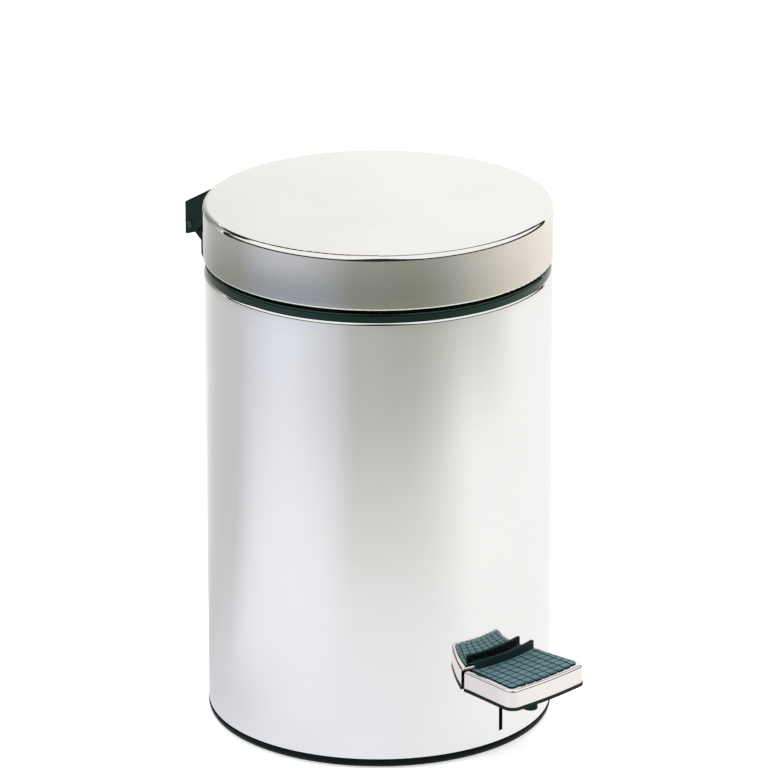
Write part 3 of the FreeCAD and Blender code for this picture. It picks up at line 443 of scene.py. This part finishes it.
# %% [markdown]
# ## A toned card for the steel
# Mirror-bright steel only shows what stands round it, so a photographer puts cards there. Seen from a
# little above, the upright walls mirror the floor, so a card lies on it: soft grey, blue and cream patches
# give the shell its bands, and a darker ring farther out gives the lid's skirt its tone. The card could be
# a painted picture, but patches set by bearing and distance are easier to move. Bearings are in degrees to
# the right of the camera. The camera doesn't see the cards, as it doesn't see lamps.

# %% Bearings and cards
camera_turn = math.radians(-44.2)
toward_camera = Vector((math.sin(camera_turn), -math.cos(camera_turn), 0))
camera_right = Vector((math.cos(camera_turn), math.sin(camera_turn), 0))


def around(angle):
    """A level direction, in degrees to the right of the camera as seen in the picture."""
    turn = math.radians(angle)
    return toward_camera * math.cos(turn) + camera_right * math.sin(turn)


def only_in_mirrors(card):
    """Leaves an object visible to glossy rays alone."""
    card.visible_camera = False
    card.visible_diffuse = False
    card.visible_transmission = False
    card.visible_volume_scatter = False
    card.visible_shadow = False


print("toward the camera:", [round(c, 3) for c in toward_camera])

# %% Where a point of the card lies
# The wall mirrors a bearing at half its angle, so along that bearing the wall itself reaches out by its
# radius times the cosine of the half angle. The ring for the lid's skirt is measured from there.
SHELL_RADIUS = 84 * MM
card_tone, card_tree = bare_material("toned_floor_card")
spot = add(card_tree, "ShaderNodeTexCoord").outputs["Object"]
reach = add(card_tree, "ShaderNodeVectorMath", {"operation": "LENGTH"}, {0: spot}).outputs["Value"]
bearing = add(card_tree, "ShaderNodeVectorMath", {"operation": "NORMALIZE"}, {0: spot}).outputs[0]
ahead = add(card_tree, "ShaderNodeVectorMath", {"operation": "DOT_PRODUCT"}, {
    0: bearing, 1: tuple(toward_camera)})
shared = add(card_tree, "ShaderNodeMapRange", inputs={"Value": ahead.outputs["Value"], "From Min": -1.0})
half_cosine = add(card_tree, "ShaderNodeMath", {"operation": "SQRT"}, {0: shared.outputs["Result"]})
wall = add(card_tree, "ShaderNodeMath", {"operation": "MULTIPLY"}, {
    0: half_cosine.outputs[0], 1: SHELL_RADIUS})
from_wall = add(card_tree, "ShaderNodeMath", {"operation": "SUBTRACT"}, {
    0: reach, 1: wall.outputs[0]}).outputs[0]


def mask(most, bands=(), rings=()):
    """The strength of a patch. A band is a bearing, the angle at which it ends, and its amounts there and in
    the middle; a ring is a distance, where it starts and ends, and its amounts at both."""
    limits = []
    for angle, edge, at_edge, at_middle in bands:
        facing = add(card_tree, "ShaderNodeVectorMath", {"operation": "DOT_PRODUCT"}, {
            0: bearing, 1: tuple(around(angle))})
        limits.append((facing.outputs["Value"], math.cos(math.radians(edge)), 1.0, at_edge, at_middle))
    limits.extend(rings)
    amount = most
    for value, first, last, low, high in limits:
        limit = add(card_tree, "ShaderNodeMapRange", {"interpolation_type": "SMOOTHSTEP"}, {
            "Value": value, "From Min": first, "From Max": last, "To Min": low, "To Max": high})
        product = add(card_tree, "ShaderNodeMath", {"operation": "MULTIPLY"}, {
            0: limit.outputs["Result"], 1: amount})
        amount = product.outputs[0]
    return amount


# %% Toned card
left_band = (-57, 45, 0.0, 1.0)
skirt_ring = (from_wall, 0.652, 0.680, 0.0, 1.0)
left_part = mask(1.0, [left_band], [(from_wall, 0.69, 0.78, 0.0, 1.0)])
left_ease = add(card_tree, "ShaderNodeMapRange", inputs={
    "Value": left_part, "To Min": 1.0, "To Max": 0.70}).outputs["Result"]
right_ends = [(136, 120, 1.0, 0.42), (150, 50, 1.0, 0.30)]
patches = [
    ("#a1a29c", mask(1.0, [(-5, 68, 0.0, 1.0)], [(reach, 0.14, 0.70, 0.15, 0.78)])),
    ("#a1a294", mask(1.0, [(46, 56, 0.0, 1.0)], [(reach, 0.45, 0.75, 0.0, 0.48)])),
    ("#8d8e92", mask(0.52, [(-106, 58, 0.0, 1.0)])),
    ("#f9fafe", mask(1.0, [left_band], [(reach, 0.11, 0.20, 0.0, 1.0), (reach, 0.30, 0.68, 0.90, 0.36)])),
    ("#dde3ff", mask(1.0, [left_band], [(reach, 0.30, 0.70, 0.05, 0.27)])),
    ("#8d8e92", mask(1.0, [(-74, 36, 0.0, 1.0)], [(reach, 0.11, 0.24, 0.20, 0.0)])),
    ("#9a9aa8", mask(1.0, [(-55, 50, 0.0, 1.0)], [(reach, 0.10, 0.15, 0.18, 0.0)])),
    ("#f1f2fc", mask(1.0, [(-40, 100, 0.0, 1.0)], [(reach, 0.12, 0.40, 0.60, 0.0)])),
    ("#fff3df", mask(0.5, [(115, 70, 0.0, 1.0)], [skirt_ring])),
    ("#5d5c4b", mask(left_ease, right_ends, [skirt_ring, (from_wall, 0.69, 0.78, 0.66, 0.42)])),
    ("#7f97b4", mask(1.0, [left_band], [skirt_ring, (from_wall, 0.69, 0.75, 0.36, 0.06)])),
]
toned = linear("#fdfcfb")
for hue, amount in patches:
    toned = add(card_tree, "ShaderNodeMix", {"data_type": "RGBA"}, {
        "Factor": amount, "A": toned, "B": linear(hue)}).outputs["Result"]
glow = add(card_tree, "ShaderNodeEmission", inputs={"Color": toned, "Strength": 1.0})
add(card_tree, "ShaderNodeOutputMaterial", inputs={"Surface": glow.outputs[0]})
floor_card = disc("floor_card", inner=0.0846, outer=2.0, height=0.0002)
floor_card.data.materials.append(card_tone)
only_in_mirrors(floor_card)
print("patches on the floor card:", len(patches))

# %% [markdown]
# ## Upright flags
# The rolled edge of the lid and the shell's shoulder squeeze all that stands round the bin into thin lines.
# A ring of black cloth flags makes part of each line dark. In front the flag stands on the floor; behind
# it hangs above what the lid's top mirrors, with a brown strip that warms the line along the lid. Flat
# boards could stand there, but a curved card with its own height at each bearing gives every line its own
# thickness. The tops fade out, so that the flags end softly in the steel from other sides too.

# %% Upright cards
def standing_card(name, material, radius, low_at, top_at, first, last, soft=(0.0, 0.0, 0.0), steps=96):
    """A curved upright card between two bearings. Its cover fades over shares of its height at the bottom
    and the top, and over some degrees at its ends."""
    soft_low, soft_top, soft_ends = soft
    work = bmesh.new()
    cover = work.verts.layers.float.new("cover")
    rows = []
    for i in range(steps + 1):
        angle = first + (last - first) * i / steps
        direction = around(angle) * radius
        low, top = low_at(angle), top_at(angle)
        tall = top - low
        near_end = min(angle - first, last - angle)
        full = min(1.0, near_end / soft_ends) if soft_ends else 1.0
        levels = [(low, 0.0), (low + soft_low * tall, full)] if soft_low else [(low, full)]
        levels += [(top - soft_top * tall, full), (top, 0.0)] if soft_top else [(top, full)]
        row = []
        for height, amount in levels:
            corner = work.verts.new((direction.x, direction.y, height))
            corner[cover] = amount
            row.append(corner)
        rows.append(row)
    for a, b in zip(rows, rows[1:]):
        for k in range(len(a) - 1):
            work.faces.new((a[k], b[k], b[k + 1], a[k + 1]))
    mesh = bpy.data.meshes.new(name)
    work.to_mesh(mesh)
    work.free()
    card = bpy.data.objects.new(name, mesh)
    card.data.materials.append(material)
    scene.collection.objects.link(card)
    only_in_mirrors(card)
    print(name, "faces:", len(mesh.polygons))
    return card


def cloth(name, tint):
    """Matt cloth that thins out where the card's cover does."""
    material, tree = bare_material(name)
    weave = add(tree, "ShaderNodeBsdfPrincipled", inputs={"Base Color": linear(tint), "Roughness": 0.9})
    cover = add(tree, "ShaderNodeAttribute", {"attribute_name": "cover"})
    clear = add(tree, "ShaderNodeBsdfTransparent")
    mixed = add(tree, "ShaderNodeMixShader", inputs={
        0: cover.outputs["Fac"], 1: clear.outputs["BSDF"], 2: weave.outputs["BSDF"]})
    add(tree, "ShaderNodeOutputMaterial", inputs={"Surface": mixed.outputs[0]})
    return material


# %% Flags round the bin
FLAG_RADIUS = 2.0
BROWN_RADIUS = 1.96
LEFT_END = 249
RIGHT_END = 131
END_RAMP = 13


def hump(angle, middle, width):
    """1 at one bearing, falling off softly on both sides."""
    return math.exp(-((angle - middle) / width) ** 2)


def floor_line(angle):
    """The floor, for a card that stands on it."""
    return 0.0


def front_top(angle):
    """Low at the sides, and tall where the camera stands."""
    return 0.80 + 2.3 * hump(angle, 2, 15)


def rear_low(angle):
    """Above what the lid's top mirrors, and down to the floor at both ends."""
    from_end = min(angle - RIGHT_END, LEFT_END - angle)
    return (1.28 + 0.72 * hump(angle, 180, 20)) * min(1.0, from_end / END_RAMP)


def rear_top(angle):
    """Tallest straight behind the bin."""
    return 2.16 + 3.7 * hump(angle, 182, 28)


black_cloth = cloth("black_flag_cloth", "#101514")
brown_cloth = cloth("brown_flag_cloth", "#6a4636")
standing_card("front_flag", black_cloth, FLAG_RADIUS, floor_line, front_top,
              LEFT_END - 360, RIGHT_END, soft=(0.0, 0.2, 0.0))
standing_card("rear_flag", black_cloth, FLAG_RADIUS, rear_low, rear_top,
              RIGHT_END, LEFT_END, soft=(0.08, 0.2, 0.0))
standing_card("brown_flag", brown_cloth, BROWN_RADIUS, rear_low, rear_top,
              158, 196, soft=(0.08, 0.2, 8.0))

# %% [markdown]
# ## Grey scrim
# The lid's top is a shallow dome that mirrors what stands low behind the bin. On the real lid its left end
# is grey and the rest nearly white, so a glowing scrim stands there, grey at one bearing and white away from
# it. Toning the lid's own steel would do in this view, but the grey would stay put in every other one.

# %% Grey scrim behind the lid
SCRIM_RADIUS = 1.9
SCRIM_MIDDLE = 222
SCRIM_EDGE = 50
SCRIM_POWER = 2.8
scrim, tree = bare_material("grey_scrim")
spot_on_scrim = add(tree, "ShaderNodeTexCoord").outputs["Object"]
level_spot = add(tree, "ShaderNodeVectorMath", {"operation": "MULTIPLY"}, {0: spot_on_scrim, 1: (1, 1, 0)})
heading = add(tree, "ShaderNodeVectorMath", {"operation": "NORMALIZE"}, {0: level_spot.outputs[0]})
facing = add(tree, "ShaderNodeVectorMath", {"operation": "DOT_PRODUCT"}, {
    0: heading.outputs[0], 1: tuple(around(SCRIM_MIDDLE))})
closer = add(tree, "ShaderNodeMapRange", inputs={
    "Value": facing.outputs["Value"], "From Min": math.cos(math.radians(SCRIM_EDGE)), "From Max": 1.0})
steeper = add(tree, "ShaderNodeMath", {"operation": "POWER"}, {0: closer.outputs["Result"], 1: SCRIM_POWER})
veil = add(tree, "ShaderNodeMix", {"data_type": "RGBA"}, {
    "Factor": steeper.outputs[0], "A": linear("#ffffff"), "B": linear("#8f9089")})
glow = add(tree, "ShaderNodeEmission", inputs={"Color": veil.outputs["Result"], "Strength": 1.0})
add(tree, "ShaderNodeOutputMaterial", inputs={"Surface": glow.outputs[0]})


def scrim_top(angle):
    """Level, just under the rear flag."""
    return 1.27


standing_card("lid_scrim", scrim, SCRIM_RADIUS, floor_line, scrim_top, 170, 243)

# %% [markdown]
# ## Lamps
# A wide soft lamp overhead and two weaker ones at the sides model the dark plastic and keep the shadow on
# the paper soft. With the sky they add up to about one, at which a colour looks as it is written. They are
# hidden from mirrors, where their square outlines would show.

# %% Lamps
BIN_MIDDLE = Vector((0, 0, 0.13))
SIDE_REACH = 2.0
SIDE_HEIGHT = Vector((0, 0, 1.2))


def soft_lamp(name, place, size, watts, tint):
    """A square lamp that points at the middle of the bin."""
    data = bpy.data.lights.new(name, "AREA")
    data.shape = "SQUARE"
    data.size = size
    data.energy = watts
    data.color = linear(tint)[:3]
    lamp = bpy.data.objects.new(name, data)
    scene.collection.objects.link(lamp)
    lamp.location = place
    lamp.rotation_euler = (BIN_MIDDLE - Vector(place)).to_track_quat("-Z", "Y").to_euler()
    lamp.visible_glossy = False
    print(name, "watts:", watts)
    return lamp


soft_lamp("overhead_lamp", (0.0, 0.2, 2.4), 1.6, 22, "#ffffff")
soft_lamp("left_lamp", tuple(around(-70) * SIDE_REACH + SIDE_HEIGHT), 1.0, 10, "#f4f6ff")
soft_lamp("right_lamp", tuple(around(80) * SIDE_REACH + SIDE_HEIGHT), 1.0, 10, "#fffaf4")

# %% [markdown]
# ## Camera
# The picture was taken with a long lens from about three metres, a little above the lid, with the
# pedal turned to the right. The place, tilt and lens come from the ellipses of the base and lid.

# %% Camera
CAMERA_AWAY = 2.735
CAMERA_HEIGHT = 1.144
LOOK_DOWN = 19.67
LOOK_ASIDE = 0.0545
LEAN = -0.15
LENS_MM = 280.8
SENSOR_MM = 36
camera_data = bpy.data.cameras.new("camera")
camera = bpy.data.objects.new("camera", camera_data)
scene.collection.objects.link(camera)
scene.camera = camera
camera.location = toward_camera * CAMERA_AWAY + Vector((0, 0, CAMERA_HEIGHT))
tilt = math.radians(90 - LOOK_DOWN)
turn = camera_turn - math.radians(LOOK_ASIDE)
roll = math.radians(LEAN)
camera.rotation_euler = (Euler((tilt, 0, turn)).to_matrix() @ Matrix.Rotation(roll, 3, "Z")).to_euler()
camera_data.lens = LENS_MM
camera_data.sensor_width = SENSOR_MM
camera_data.clip_start = 0.05
camera_data.clip_end = 50
print("camera at", [round(c, 3) for c in camera.location])
